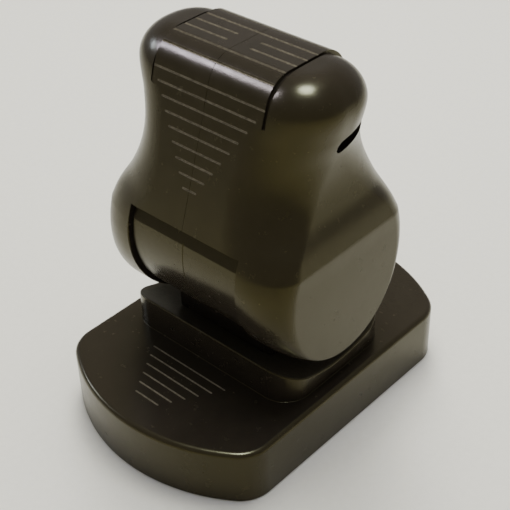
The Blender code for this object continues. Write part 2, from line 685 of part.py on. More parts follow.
def horn_grooves():
    cutters = []
    for i, half in enumerate(tapered_lengths(FACE_GROOVE_HALF, FACE_GROOVES)):
        z = FACE_GROOVE_TOP - FACE_GROOVE_PITCH * i
        proud = BAND_PROUD if z > BAND_FOOT else 0.0
        centre = (0.0, -horn_depth(z) - proud, z)
        cutters.append(groove_box(half, centre, -HORN_TAPER))
    for i in range(TOP_GROOVES):
        y = TOP_GROOVE_FIRST + TOP_GROOVE_PITCH * i
        cutters.append(groove_box(TOP_GROOVE_HALF, (0.0, y, HORN_TOP + BAND_PROUD), math.pi / 2))
    return merged(cutters, "horn_grooves")


def detent_notches():
    """Round pockets in the shells' rib, one for each position that the horn clicks into."""
    pockets = []
    reach = BARREL_RADIUS + BARREL_CLEARANCE - 1.6 * MM
    for degrees in DETENT_STEPS:
        lean = math.radians(degrees)
        bm = bmesh.new()
        centre = (0.0, reach * math.sin(lean), AXIS_HEIGHT + reach * math.cos(lean))
        bmesh.ops.create_icosphere(bm, subdivisions=2, radius=BALL_RADIUS,
                                   matrix=Matrix.Translation(centre))
        pockets.append(from_bmesh(bm, "pocket"))
    return merged(pockets, "detent_notches")


def shell_hollow():
    """The horn's form drawn in by the wall, in a coarser skin."""
    return horn_solid(SHELL_WALL, levels=8, foot_steps=7, count=5)


def make_shells():
    band = as_cutter(band_solid(), "head_band")
    grooves = horn_grooves()
    window = window_cutters()
    notches = detent_notches()
    rib_radius = HORN_RADIUS + 2.4 * MM
    for side, name in ((-1, "left"), (1, "right")):
        shell = horn_solid()
        boolean(shell, band, "UNION")
        inner = as_cutter(shell_hollow(), "shell_hollow_" + name)
        for y, z, _ in SHELL_SCREWS.values():
            boolean(inner, shell_boss(side, -2 * MM, 25 * MM, (y, z), BOSS_RADIUS), "DIFFERENCE")
        dowel_boss = shell_boss(side, -2 * MM, 10 * MM, DOWEL_PLACE, BOSS_RADIUS)
        boolean(inner, dowel_boss, "DIFFERENCE")
        hinge_boss = shell_boss(side, 15.4 * MM, 25 * MM, (0.0, AXIS_HEIGHT), FLANGE_RADIUS)
        boolean(inner, hinge_boss, "DIFFERENCE")
        rib = along_x(rib_radius, -DETENT_RIB_HALF, DETENT_RIB_HALF, (0.0, AXIS_HEIGHT), 48)
        boolean(inner, as_cutter(rib, "detent_rib"), "DIFFERENCE")
        boolean(shell, inner, "DIFFERENCE")
        for cutter in window:
            boolean(shell, cutter, "DIFFERENCE")
        boolean(shell, notches, "DIFFERENCE")
        boolean(shell, grooves, "DIFFERENCE")
        half_space = side_box(side, (SEAM, -40 * MM, 0), (40 * MM, 40 * MM, 90 * MM))
        boolean(shell, as_cutter(half_space, "half_" + name), "INTERSECT")
        slot = side_box(side, (15 * MM, 0.0, -SLOT_WIDTH / 2), (30 * MM, SLOT_REACH, SLOT_WIDTH / 2))
        slot.data.transform(Matrix.Translation((0, 0, SLOT_HEIGHT)) @ Matrix.Rotation(SLOT_TILT, 4, "X"))
        boolean(shell, as_cutter(slot, "slot_" + name), "DIFFERENCE")
        boolean(shell, shell_holes(side), "DIFFERENCE")
        finish(shell, "horn_shell_" + name, BODY_PLASTIC)


def shell_holes(side):
    """Blind hinge bore, dowel hole and the screw holes of one shell."""
    holes = [along_x(PIN_RADIUS + FIT, side * 13 * MM, side * (PIN_HALF_LENGTH + GAP), (0.0, AXIS_HEIGHT), 48),
             along_x(SHELL_SCREW_RADIUS + FIT, -side * MM, side * 6.5 * MM, DOWEL_PLACE, 16)]
    for y, z, seat in SHELL_SCREWS.values():
        if side > 0:
            holes.append(along_x(SHELL_INSERT_RADIUS + FIT, -MM, SHELL_SCREW_END + GAP, (y, z), 20))
        else:
            holes.append(along_x(SHELL_SCREW_RADIUS + GAP, -seat - MM, MM, (y, z), 20))
            holes.append(along_x(SHELL_HEAD_RADIUS + GAP, -seat, -30 * MM, (y, z), 20))
    for obj in holes:
        as_cutter(obj, "shell_hole")
    for obj in holes[1:]:
        boolean(holes[0], obj, "UNION")
    return holes[0]


def make_shell_fasteners():
    head_height = 2.0 * MM
    for name, (y, z, seat) in SHELL_SCREWS.items():
        screw = make_screw(SHELL_SCREW_RADIUS, SHELL_HEAD_RADIUS, head_height, seat + SHELL_SCREW_END,
                           (-seat - GAP, y, z), (-1, 0, 0))
        finish(screw, "shell_screw_" + name, STAINLESS)
        low, high = SHELL_INSERT_SPAN
        ring = [(SHELL_INSERT_RADIUS, high), (SHELL_INSERT_RADIUS, low),
                (SHELL_SCREW_RADIUS + FIT, low), (SHELL_SCREW_RADIUS + FIT, high)]
        finish(turned(ring, (0, y, z), (1, 0, 0), closed=True, steps=20), "shell_insert_" + name, BRASS)
        plug_at = seat + head_height + 2 * GAP
        plug = along_x(SHELL_HEAD_RADIUS, -plug_at, -(plug_at + PLUG_THICKNESS), (y, z), 20)
        finish(plug, "screw_plug_" + name, BODY_PLASTIC)
    dowel = along_x(SHELL_SCREW_RADIUS, -6.0 * MM, 6.0 * MM, DOWEL_PLACE, 16)
    finish(dowel, "locating_dowel", STAINLESS)


make_base()
make_gasket()
make_deck_inserts()
make_knuckle()
make_clamp()
make_hinge()
make_detent()
make_shells()
make_shell_fasteners()
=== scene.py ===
import json
import math

import bmesh
import bpy
from mathutils import Matrix, Vector

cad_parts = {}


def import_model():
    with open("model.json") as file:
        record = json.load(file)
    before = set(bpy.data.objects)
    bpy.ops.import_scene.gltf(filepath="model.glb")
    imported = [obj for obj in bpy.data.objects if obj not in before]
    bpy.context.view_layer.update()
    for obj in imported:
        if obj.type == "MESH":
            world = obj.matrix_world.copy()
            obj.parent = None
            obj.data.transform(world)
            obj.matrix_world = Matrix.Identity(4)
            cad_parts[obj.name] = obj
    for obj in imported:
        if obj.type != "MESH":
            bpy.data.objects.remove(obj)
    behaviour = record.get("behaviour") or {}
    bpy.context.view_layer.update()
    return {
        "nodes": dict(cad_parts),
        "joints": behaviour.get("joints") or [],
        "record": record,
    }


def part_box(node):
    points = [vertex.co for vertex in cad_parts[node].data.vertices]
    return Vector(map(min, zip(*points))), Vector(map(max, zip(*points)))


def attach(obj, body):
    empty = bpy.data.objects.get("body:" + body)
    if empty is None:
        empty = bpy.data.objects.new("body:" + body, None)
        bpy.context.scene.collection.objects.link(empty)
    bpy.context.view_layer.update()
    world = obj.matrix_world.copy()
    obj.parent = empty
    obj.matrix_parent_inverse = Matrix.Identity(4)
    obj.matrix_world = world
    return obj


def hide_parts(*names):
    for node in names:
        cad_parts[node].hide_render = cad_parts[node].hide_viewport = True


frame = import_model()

MM = 0.001

# Driving sizes, read from the frame where it holds them.
BASE_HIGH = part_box("base_plate")[1]
BASE_HALF_WIDTH = BASE_HIGH[0]
BASE_HALF_LENGTH = BASE_HIGH[1]
BASE_END_RADIUS = 38.0 * MM
BASE_CORNER_RADIUS = 7.5 * MM
BASE_HEIGHT = 12.25 * MM
BASE_TOP_ROUND = 1.05 * MM
BASE_FOOT_ROUND = 0.35 * MM
BASE_WALL = 3.0 * MM
BASE_CEILING = 9.0 * MM                      # height of the hollow under the plate
RIB_THICKNESS = 1.8 * MM
PEDESTAL_HALF = (21.8 * MM, 15.2 * MM)
PEDESTAL_CORNER = 6.0 * MM
PEDESTAL_FILLET = 0.1 * MM
SADDLE_RADIUS = 27.9 * MM
SADDLE_CENTRE = 43.0 * MM                    # height of the saddle's centre line
SADDLE_RIM_ROUND = 0.4 * MM

AXIS_HEIGHT = frame["joints"][0]["pos_m"][2]
KNUCKLE_LOW, KNUCKLE_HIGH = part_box("knuckle")
BARREL_RADIUS = KNUCKLE_HIGH[1] + 0.3 * MM
BARREL_RIM_HALF = KNUCKLE_HIGH[0] + 0.15 * MM
BARREL_HALF_WIDTH = 12.7 * MM                # at the hub
BARREL_EDGE_ROUND = 0.3 * MM
BARREL_LINE = 0.12 * MM                      # half-width and depth of its parting line
RELIEF_HEIGHT = 4.0 * MM                     # above the axis
RELIEF_LEAN = math.radians(32)
CORE_RADII = (8.6 * MM, 15.2 * MM)
CORE_DEPTH = 7.7 * MM
BUSH_BORE_RADIUS = 5.05 * MM
NECK_HALF = (12.4 * MM, 10.0 * MM)
NECK_CORNER = 1.5 * MM
TENON_HALF = (10.5 * MM, 8.5 * MM)
TENON_CORNER = 1.0 * MM
TENON_BOTTOM = KNUCKLE_LOW[2]
CLAMP_SCREW_PLACE = (6.6 * MM, 4.8 * MM)
CLAMP_SCREW_RADIUS = 2.05 * MM
GAP = 0.3 * MM                               # clearance between pieces
MORTISE_HALF = (TENON_HALF[0] + GAP, TENON_HALF[1] + GAP)

HORN_RADIUS = 20.1 * MM
BAND_PROUD = 0.12 * MM
HORN_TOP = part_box("horn_shell_right")[1][2] - BAND_PROUD
HORN_TAPER = math.radians(18.4)
HEAD_ROUND_DEPTH = 8.6 * MM
HEAD_ROUND_WIDTH = 6.5 * MM
SHELL_WALL = 2.5 * MM
SEAM = 0.02 * MM                             # half of the gap between the two shells
SEAM_CHAMFER = 0.035 * MM
WINDOW_HALF_WIDTH = 13.65 * MM
WINDOW_TOP = 45.6 * MM
WINDOW_CHAMFER = 0.15 * MM
# Height, half-width, flat half-width of the front face, and the share of the depth
# that the plan corner rounds over. The cheeks turn in sharply at the crease.
CREASE_HEIGHT = 42.7 * MM
HORN_STATIONS = (
    (14.0 * MM, 23.3 * MM, 19.8 * MM, 0.12),
    (38.7 * MM, 23.3 * MM, 13.6 * MM, 0.29),
    (CREASE_HEIGHT, 23.4 * MM, 11.6 * MM, 0.33),
    (46.0 * MM, 22.4 * MM, 9.4 * MM, 0.38),
    (50.0 * MM, 20.9 * MM, 8.7 * MM, 0.56),
    (55.0 * MM, 20.0 * MM, 8.2 * MM, 0.75),
    (60.0 * MM, 20.35 * MM, 8.7 * MM, 0.92),
    (65.0 * MM, 21.85 * MM, 9.6 * MM, 0.95),
    (70.0 * MM, 23.0 * MM, 12.2 * MM, 0.88),
    (76.2 * MM, 22.7 * MM, 14.8 * MM, 0.94),
)
BAND_HALF_WIDTH = 13.1 * MM
BAND_FOOT = 68.2 * MM
BAND_ROUND = 6.2 * MM
BAND_SLIT = (0.55 * MM, 0.50 * MM)           # width and depth
SLIT_OVERLAP = 0.03 * MM

GROOVE_SIZE = (0.19 * MM, 0.14 * MM)         # half-width and depth
TOP_GROOVE_SIZE = (0.26 * MM, 0.26 * MM)
GROOVE_PAINTED_GLINT = 1.0                            # share of a groove's faces given the pale matt colour: painted highlight lines in place of the grooves' glints
# painted fill light: the saddle's shaded seat gets a share of the paler, matt colour
SADDLE_PAINTED_FILL = 0.2
GROOVE_LIP = 0.15                            # share of a groove's depth, at its lip, left without the painted highlight colour
GROOVE_SLACK = 0.02
WELD = 0.002 * MM                            # points closer than this are one point
FACE_GROOVES = 9
FACE_GROOVE_TOP = 71.3 * MM
FACE_GROOVE_PITCH = 2.27 * MM
FACE_GROOVE_HALF = (13.2 * MM, 1.8 * MM)
TOP_GROOVES = 6
TOP_GROOVE_FIRST = -8.0 * MM
TOP_GROOVE_PITCH = 2.74 * MM
TOP_GROOVE_HALF = 13.2 * MM
TOP_GROOVES_SPLIT = (2, 3)
PAD_HALF = 2.6 * MM
BASE_GROOVES = 6
BASE_GROOVE_FIRST = 18.9 * MM
BASE_GROOVE_PITCH = 2.25 * MM
BASE_GROOVE_HALF = (10.0 * MM, 3.2 * MM)
BASE_GROOVE_CENTRE = -1.0 * MM

# Slot round the rear of each shoulder, then the fasteners and the detent.
SLOT_HEIGHT = 63.1 * MM
SLOT_WIDTH = 3.0 * MM
SLOT_REACH = 10.0 * MM
SLOT_TILT = math.radians(13)
# Screws of the shells: y, z and the distance of the head's seat from the seam.
SHELL_SCREWS = ((0.0, 69.0 * MM, 17.6 * MM), (-6.0 * MM, 61.8 * MM, 13.2 * MM))
DOWEL_PLACE = (6.0 * MM, 61.8 * MM)
BOSS_RADIUS = 3.9 * MM
SCREW_RADIUS = 1.5 * MM
DOWEL_HOLE_RADIUS = SCREW_RADIUS + 0.05 * MM
SCREW_HEAD_RADIUS = 2.9 * MM
SCREW_END = 9.0 * MM
INSERT_RADIUS = 2.45 * MM
PIN_RADIUS = 3.05 * MM
PIN_HALF_LENGTH = 19.2 * MM
FLANGE_RADIUS = 7.2 * MM
FLANGE_SEAT = 15.4 * MM                      # distance from the seam
DETENT_RIB_HALF = 4.2 * MM
DETENT_RIB_RISE = 1.9 * MM                   # above the radius of the horn's foot
BALL_RADIUS = 2.5 * MM
BALL_SUNK = 1.6 * MM                         # from the bore round the barrel to a notch's centre
DETENT_STEPS = (-60, -30, 0, 30, 60)
BARREL_CLEARANCE = 0.35 * MM
DECK_INSERT_PLACE = (17.3 * MM, 23.6 * MM)
DECK_INSERT_RADIUS = 3.55 * MM
DECK_BOSS_RADIUS = 5.6 * MM
DECK_INSERT_TOP = 7.9 * MM
CLAMP_POCKET_HALF = (18.0 * MM, 14.0 * MM)
GASKET_THICKNESS = 1.5 * MM


# ---------------------------------------------------------------- mesh helpers

grooves_made = []


def from_bmesh(bm, name):
    bmesh.ops.recalc_face_normals(bm, faces=bm.faces)
    mesh = bpy.data.meshes.new(name)
    bm.to_mesh(mesh)
    bm.free()
    obj = bpy.data.objects.new(name, mesh)
    bpy.context.scene.collection.objects.link(obj)
    return obj


def box(low, high):
    low, high = Vector(low), Vector(high)
    bm = bmesh.new()
    bmesh.ops.create_cube(bm, size=1.0)
    for vert in bm.verts:
        vert.co = (low + high) / 2 + Vector(a * b for a, b in zip(vert.co, high - low))
    return from_bmesh(bm, "box")


def cylinder(radius, start, end, segments=48):
    start, end = Vector(start), Vector(end)
    turn = (end - start).to_track_quat("Z", "Y").to_matrix().to_4x4()
    bm = bmesh.new()
    bmesh.ops.create_cone(
        bm, cap_ends=True, segments=segments, radius1=radius, radius2=radius,
        depth=(end - start).length, matrix=Matrix.Translation((start + end) / 2) @ turn)
    return from_bmesh(bm, "cylinder")


def along_x(radius, x_start, x_end, place, segments=48):
    return cylinder(radius, (x_start, *place), (x_end, *place), segments)


def loft(rings, name="loft"):
    """A closed skin over rings of equal count, with a flat cap at each end."""
    bm = bmesh.new()
    rows = [[bm.verts.new(point) for point in ring] for ring in rings]
    for low, high in zip(rows, rows[1:]):
        for i in range(len(low)):
            j = (i + 1) % len(low)
            bm.faces.new((low[i], low[j], high[j], high[i]))
    bm.faces.new(rows[0])
    bm.faces.new(rows[-1])
    return from_bmesh(bm, name)


def prism(outline, bottom, top):
    return loft([[(x, y, z) for x, y in outline] for z in (bottom, top)])


def turned_about_x(profile, centre_height, steps=128):
    """A closed (x, radius) loop turned about the line along X at a height."""
    bm = bmesh.new()
    rows = []
    for i in range(steps):
        angle = 2 * math.pi * i / steps
        rows.append([bm.verts.new((x, r * math.cos(angle), centre_height + r * math.sin(angle)))
                     for x, r in profile])
    for i in range(steps):
        row, after = rows[i], rows[(i + 1) % steps]
        for k in range(len(profile)):
            m = (k + 1) % len(profile)
            bm.faces.new((row[k], row[m], after[m], after[k]))
    return from_bmesh(bm, "turned")


def groove(half_length, centre, lean, size=GROOVE_SIZE):
    """A V-groove's cutter along X with pointed ends; it leans back from straight down."""
    half_width, depth = size
    grooves_made.append((half_length, centre, lean, size))
    reach = half_length - half_width
    bm = bmesh.new()
    for side in (-1, 1):
        bm.verts.new((side * half_length, 0.0, 0.0))
        for a, b in ((1, 0), (-1, 0), (0, 1), (0, -1)):
            bm.verts.new((side * reach, a * half_width, b * depth))
    bmesh.ops.convex_hull(bm, input=bm.verts)
    bm.transform(Matrix.Translation(centre) @ Matrix.Rotation(lean, 4, "X"))
    return from_bmesh(bm, "groove")


def mark_painted_light(mesh):
    """Store each face's share of painted light: all of it in a groove, as painted highlight lines;
    a little on the saddle's seat, as painted fill in its shade.
    """
    bm = bmesh.new()
    bm.from_mesh(mesh)
    middles = [face.calc_center_bounds() for face in bm.faces]
    bm.free()
    flags = mesh.attributes.new("dust", "FLOAT", "FACE")
    for flag, middle in zip(flags.data, middles):
        x, y, z = middle
        inside = abs(x) < PEDESTAL_HALF[0] and abs(y) < PEDESTAL_HALF[1]
        # painted fill: faces on the saddle's seat, which lies in shade
        if inside and abs(z - saddle_height(y)) < GAP / 3:
            flag.value = SADDLE_PAINTED_FILL
        for half_length, centre, lean, (half_width, depth) in grooves_made:
            x, y, z = middle - Vector(centre)
            across = abs(y * math.cos(lean) + z * math.sin(lean)) / half_width
            down = (y * math.sin(lean) - z * math.cos(lean)) / depth
            # painted highlight: faces inside a groove below its lip
            if abs(x) < half_length and down > GROOVE_LIP and across + down < 1 + GROOVE_SLACK:
                flag.value = GROOVE_PAINTED_GLINT


def merged(objects):
    bm = bmesh.new()
    for obj in objects:
        bm.from_mesh(obj.data)
        bpy.data.objects.remove(obj, do_unlink=True)
    return from_bmesh(bm, "merged")


def zip_cracks(bm):
    """Split each open edge where another one's end lies on it, then weld the two sides."""
    open_edges = [edge for edge in bm.edges if edge.is_boundary]
    ends = {vert for edge in open_edges for vert in edge.verts}
    for edge in open_edges:
        start, end = edge.verts
        along = end.co - start.co
        shares = []
        for vert in ends - {start, end}:
            share = (vert.co - start.co).dot(along) / along.length_squared
            if 0 < share < 1 and (vert.co - start.co - along * share).length < WELD:
                shares.append(share)
        done = 0.0
        for share in sorted(shares):
            start = bmesh.utils.edge_split(edge, start, (share - done) / (1 - done))[1]
            edge = next(other for other in start.link_edges if end in other.verts)
            done = share
    bmesh.ops.remove_doubles(bm, verts=bm.verts, dist=WELD)


def combine(obj, other, operation):
    """Apply an exact Boolean, weld what it leaves a hair apart and drop the other object."""
    mod = obj.modifiers.new("boolean", "BOOLEAN")
    mod.operation = operation
    mod.object = other
    mod.solver = "EXACT"
    seen = obj.evaluated_get(bpy.context.evaluated_depsgraph_get())
    mesh = bpy.data.meshes.new_from_object(seen)
    bm = bmesh.new()
    bm.from_mesh(mesh)
    bmesh.ops.remove_doubles(bm, verts=bm.verts, dist=WELD)
    bmesh.ops.dissolve_degenerate(bm, dist=WELD / 2, edges=bm.edges)
    zip_cracks(bm)
    bm.to_mesh(mesh)
    bm.free()
    obj.modifiers.clear()
    obj.data = mesh
    bpy.data.objects.remove(other, do_unlink=True)
    return obj


def cut(obj, *others):
    for other in others:
        combine(obj, other, "DIFFERENCE")
    return obj


def join(obj, *others):
    for other in others:
        combine(obj, other, "UNION")
    return obj


def arc(centre, radius, start, end, count):
    angles = [start + (end - start) * i / (count - 1) for i in range(count)]
    return [(centre[0] + radius * math.cos(a), centre[1] + radius * math.sin(a)) for a in angles]


def rounded_rectangle(half_x, half_y, radius, count=16):
    points = []
    for quarter, (sx, sy) in enumerate(((1, 1), (-1, 1), (-1, -1), (1, -1))):
        centre = (sx * (half_x - radius), sy * (half_y - radius))
        start = quarter * math.pi / 2
        points += arc(centre, radius, start, start + math.pi / 2, count)
    return points


def divided_sides(points, count=16, parts=14):
    """A rounded rectangle's points with each straight side between its arcs divided."""
    finer = []
    for i, (x, y) in enumerate(points):
        finer.append((x, y))
        if i % count == count - 1:
            a, b = points[(i + 1) % len(points)]
            finer += [(x + (a - x) * k / parts, y + (b - y) * k / parts) for k in range(1, parts)]
    return finer


def corners(place):
    x, y = place
    return ((-x, -y), (x, -y), (-x, y), (x, y))


# ---------------------------------------------------------------- base

def base_outline(inset=0.0):
    """The base's plan: each corner arc touches a straight side and a bowed end."""
    corner = BASE_CORNER_RADIUS
    corner_x = BASE_HALF_WIDTH - corner
    end_y = BASE_HALF_LENGTH - BASE_END_RADIUS
    corner_y = end_y + math.sqrt((BASE_END_RADIUS - corner) ** 2 - corner_x ** 2)
    lean = math.atan2(corner_y - end_y, corner_x)
    rear = arc((corner_x, corner_y), corner - inset, 0.0, lean, 14)
    rear += arc((0.0, end_y), BASE_END_RADIUS - inset, lean, math.pi - lean, 40)[1:-1]
    rear += arc((-corner_x, corner_y), corner - inset, math.pi - lean, math.pi, 14)
    return rear + [(-x, -y) for x, y in rear]


def rounding(radius, steps, start_degrees=0.0, end_degrees=90.0):
    """(inset, rise) pairs round a convex edge, from its side to its top."""
    pairs = []
    for i in range(steps + 1):
        angle = math.radians(start_degrees + (end_degrees - start_degrees) * i / steps)
        pairs.append((radius * (1 - math.cos(angle)), radius * math.sin(angle)))
    return pairs


def base_slab():
    """The plate's solid with its top edge and its foot rounded."""
    rings = []
    for inset, rise in reversed(rounding(BASE_FOOT_ROUND, 4)):
        rings.append([(x, y, BASE_FOOT_ROUND - rise) for x, y in base_outline(inset)])
    for inset, rise in rounding(BASE_TOP_ROUND, 10):
        height = BASE_HEIGHT - BASE_TOP_ROUND + rise
        rings.append([(x, y, height) for x, y in base_outline(inset)])
    return loft(rings, "base_moulding")


def saddle_height(y):
    return SADDLE_CENTRE - math.sqrt(SADDLE_RADIUS ** 2 - y ** 2)


def pedestal():
    """Foot fillet, wall, rounded rim, then the saddle's surface in to the mortise."""
    def plan(inset):
        return divided_sides(rounded_rectangle(PEDESTAL_HALF[0] - inset, PEDESTAL_HALF[1] - inset,
                                               PEDESTAL_CORNER - inset))

    rings = [[(x, y, BASE_HEIGHT - MM) for x, y in plan(-PEDESTAL_FILLET * 0.85)]]
    for i in range(1, 9):
        angle = math.radians(80 * (1 - i / 8))
        inset = -PEDESTAL_FILLET * (1 - math.cos(angle))
        height = BASE_HEIGHT + PEDESTAL_FILLET * (1 - math.sin(angle))
        rings.append([(x, y, height) for x, y in plan(inset)])
    for inset, rise in rounding(SADDLE_RIM_ROUND, 6):
        ring = [(x, y, saddle_height(y) - SADDLE_RIM_ROUND + rise) for x, y in plan(inset)]
        rings.append(ring)
    rim = plan(SADDLE_RIM_ROUND)
    throat = divided_sides(rounded_rectangle(*MORTISE_HALF, TENON_CORNER))
    for i in range(1, 13):
        share = i / 12
        ring = [(a + (c - a) * share, b + (d - b) * share) for (a, b), (c, d) in zip(rim, throat)]
        rings.append([(x, y, saddle_height(y)) for x, y in ring])
    rings.append([(x, y, BASE_HEIGHT - 2 * MM) for x, y in throat])
    return loft(rings)


def base_hollow():
    """The space under the plate, left round by the insert bosses and the ribs."""
    hollow = prism(base_outline(BASE_WALL), -MM, BASE_CEILING)
    under = GASKET_THICKNESS + GAP
    for x, y in corners(DECK_INSERT_PLACE):
        cut(hollow, cylinder(DECK_BOSS_RADIUS, (x, y, under), (x, y, BASE_HEIGHT)))
    for side in (-1, 1):
        y = side * DECK_INSERT_PLACE[1]
        x = side * DECK_INSERT_PLACE[0]
        half = RIB_THICKNESS / 2
        cut(hollow, box((-30 * MM, y - half, under), (30 * MM, y + half, BASE_HEIGHT)),
            box((x - half, -40 * MM, under), (x + half, 40 * MM, BASE_HEIGHT)))
    return hollow


def base_grooves():
    cutters = []
    first, last = BASE_GROOVE_HALF
    for i in range(BASE_GROOVES):
        half = first + (last - first) * i / (BASE_GROOVES - 1)
        y = -(BASE_GROOVE_FIRST + BASE_GROOVE_PITCH * i)
        cutters.append(groove(half, (BASE_GROOVE_CENTRE, y, BASE_HEIGHT), 0.0))
    return merged(cutters)


def make_base():
    base = join(base_slab(), pedestal())
    mortise = prism(rounded_rectangle(*MORTISE_HALF, TENON_CORNER), 5 * MM, BASE_HEIGHT + MM)
    half_x, half_y = CLAMP_POCKET_HALF
    pocket = box((-half_x, -half_y, -MM), (half_x, half_y, TENON_BOTTOM - GAP))
    holes = merged([cylinder(DECK_INSERT_RADIUS, (x, y, -MM), (x, y, DECK_INSERT_TOP))
                    for x, y in corners(DECK_INSERT_PLACE)])
    return cut(base, base_hollow(), mortise, pocket, holes, base_grooves())


# ---------------------------------------------------------------- knuckle

def barrel_relief(side):
    """What the barrel is planed off by, front or rear, where it passes under the window's edge."""
    depth = math.sqrt(BARREL_RADIUS ** 2 - RELIEF_HEIGHT ** 2)
    start = Vector((side * depth, AXIS_HEIGHT + RELIEF_HEIGHT))
    along = Vector((-side * math.sin(RELIEF_LEAN), math.cos(RELIEF_LEAN))) * 14 * MM
    outward = Vector((side * math.cos(RELIEF_LEAN), math.sin(RELIEF_LEAN))) * 14 * MM
    section = [start, start + along, start + along + outward, start + outward]
    return loft([[(x, y, z) for y, z in section] for x in (-20 * MM, 20 * MM)])


def make_knuckle():
    """A cored barrel with rounded rims and a fine parting line, on its neck and tenon."""
    half, hub, radius = BARREL_RIM_HALF, BARREL_HALF_WIDTH, BARREL_RADIUS
    inner, outer = CORE_RADII
    floor_x = hub - CORE_DEPTH
    edge = [(half - e, radius - BARREL_EDGE_ROUND + r)
            for e, r in rounding(BARREL_EDGE_ROUND, 6)]
    right = [(BARREL_LINE, radius)] + list(reversed(edge))
    right += [(half, outer), (floor_x, outer), (floor_x, inner), (hub, inner)]
    right += [(hub, BUSH_BORE_RADIUS)]
    loop = [(0.0, radius - BARREL_LINE)] + right + [(-x, r) for x, r in reversed(right)]
    barrel = turned_about_x(loop, AXIS_HEIGHT, steps=160)
    cut(barrel, barrel_relief(-1), barrel_relief(1))

    def neck_ring(height):
        return [(x, y, height) for x, y in rounded_rectangle(*NECK_HALF, NECK_CORNER, 8)]

    neck = loft([neck_ring(8 * MM), neck_ring(AXIS_HEIGHT - 12 * MM)])
    seat = along_x(SADDLE_RADIUS - GAP, -20 * MM, 20 * MM, (0.0, SADDLE_CENTRE), 256)
    combine(neck, seat, "INTERSECT")
    tenon_plan = rounded_rectangle(*TENON_HALF, TENON_CORNER, 6)
    tenon = prism(tenon_plan, TENON_BOTTOM, AXIS_HEIGHT - 13 * MM)
    join(neck, tenon)
    join(barrel, neck)
    well = cylinder(BALL_RADIUS + 0.05 * MM, (0, 0, AXIS_HEIGHT + 7 * MM),
                    (0, 0, AXIS_HEIGHT + 25 * MM), 32)
    pilots = merged([
        cylinder(CLAMP_SCREW_RADIUS, (x, y, 5 * MM), (x, y, TENON_BOTTOM + 10 * MM), 24)
        for x, y in corners(CLAMP_SCREW_PLACE)])
    return cut(barrel, well, pilots)


# ---------------------------------------------------------------- horn

def station_value(height, column):
    """Smooth cubic interpolation of one column of the horn's stations."""
    last = len(HORN_STATIONS) - 2
    i = max(k for k in range(last + 1) if k == 0 or HORN_STATIONS[k][0] <= height)
    z0, z1 = HORN_STATIONS[i][0], HORN_STATIONS[i + 1][0]
    v0, v1 = HORN_STATIONS[i][column], HORN_STATIONS[i + 1][column]

    def slope(k, upward):
        low, high = max(k - 1, 0), min(k + 1, last + 1)
        if HORN_STATIONS[k][0] == CREASE_HEIGHT:
            low, high = (k, high) if upward else (low, k)
        low, high = HORN_STATIONS[low], HORN_STATIONS[high]
        return (high[column] - low[column]) / (high[0] - low[0])

    t = min((height - z0) / (z1 - z0), 1.0)
    span = z1 - z0
    return (v0 * (2 * t ** 3 - 3 * t ** 2 + 1) + v1 * (3 * t ** 2 - 2 * t ** 3)
            + span * slope(i, True) * (t ** 3 - 2 * t ** 2 + t)
            + span * slope(i + 1, False) * (t ** 3 - t ** 2))


def drop(height, top, radius):
    """How far a rounding of this radius has drawn the side in at a height below the top."""
    rise = max(height - (top - radius), 0.0)
    return radius - math.sqrt(max(radius ** 2 - rise ** 2, 0.0))


def horn_depth(height, inset=0.0, top=HORN_TOP, round_radius=HEAD_ROUND_DEPTH):
    """Half-depth of the horn: a circle about the axis, a tapered line, an arc over to the top."""
    radius = HORN_RADIUS - inset
    round_radius -= inset
    rise = height - AXIS_HEIGHT
    if rise < radius * math.sin(HORN_TAPER):
        return math.sqrt(max(radius ** 2 - rise ** 2, 0.0))
    arc_rise = top - inset - round_radius - AXIS_HEIGHT
    if rise < arc_rise + round_radius * math.sin(HORN_TAPER):
        return (radius - rise * math.sin(HORN_TAPER)) / math.cos(HORN_TAPER)
    arc_depth = (radius - round_radius - arc_rise * math.sin(HORN_TAPER)) / math.cos(HORN_TAPER)
    return arc_depth + math.sqrt(max(round_radius ** 2 - (rise - arc_rise) ** 2, 0.0))


def horn_ring(height, inset, count):
    """One level section of the horn, drawn in by the inset, with elliptical plan corners."""
    depth = horn_depth(height, inset)
    width = station_value(height, 1) - inset - drop(height, HORN_TOP - inset, HEAD_ROUND_WIDTH)
    flat = min(station_value(height, 2) - inset / 3, width - 1.5 * MM)
    corner = depth * min(station_value(height, 3), 0.97)
    ring = []
    for quarter, (sx, sy) in enumerate(((1, 1), (-1, 1), (-1, -1), (1, -1))):
        for i in range(count):
            angle = (quarter + i / (count - 1)) * math.pi / 2
            x = sx * flat + (width - flat) * math.cos(angle)
            y = sy * (depth - corner) + corner * math.sin(angle)
            ring.append((x, y, height))
    return ring


def horn_solid(inset, foot_steps, levels, crown_steps, count):
    """The horn's form: a round foot, the tapering neck and the domed head."""
    radius = HORN_RADIUS - inset
    top = HORN_TOP - inset
    shoulder = top - HEAD_ROUND_DEPTH
    foot = [AXIS_HEIGHT - radius * math.cos(math.radians(3 + 87 * i / foot_steps))
            for i in range(foot_steps)]
    upper = [AXIS_HEIGHT + (shoulder - AXIS_HEIGHT) * i / levels for i in range(levels)]
    crown = [shoulder + HEAD_ROUND_DEPTH * math.sin(math.radians(90 * i / crown_steps))
             for i in range(crown_steps + 1)]
    return loft([horn_ring(height, inset, count) for height in foot + upper + crown])


def band_depth(height, outset=0.0):
    return BAND_PROUD + horn_depth(height, -outset, HORN_TOP + BAND_PROUD, BAND_ROUND)


def band_profile(outset=0.0, foot=BAND_FOOT):
    """Front-to-rear profile of the band over the head, as (y, z) points."""
    top = HORN_TOP + BAND_PROUD + outset
    radius = BAND_ROUND + outset
    start = math.degrees(HORN_TAPER)
    angles = [math.radians(start + (90 - start) * i / 16) for i in range(17)]
    heights = [foot] + [top - radius + radius * math.sin(angle) for angle in angles]
    front = [(-band_depth(z, outset), z) for z in heights]
    return front + [(-y, z) for y, z in reversed(front)]


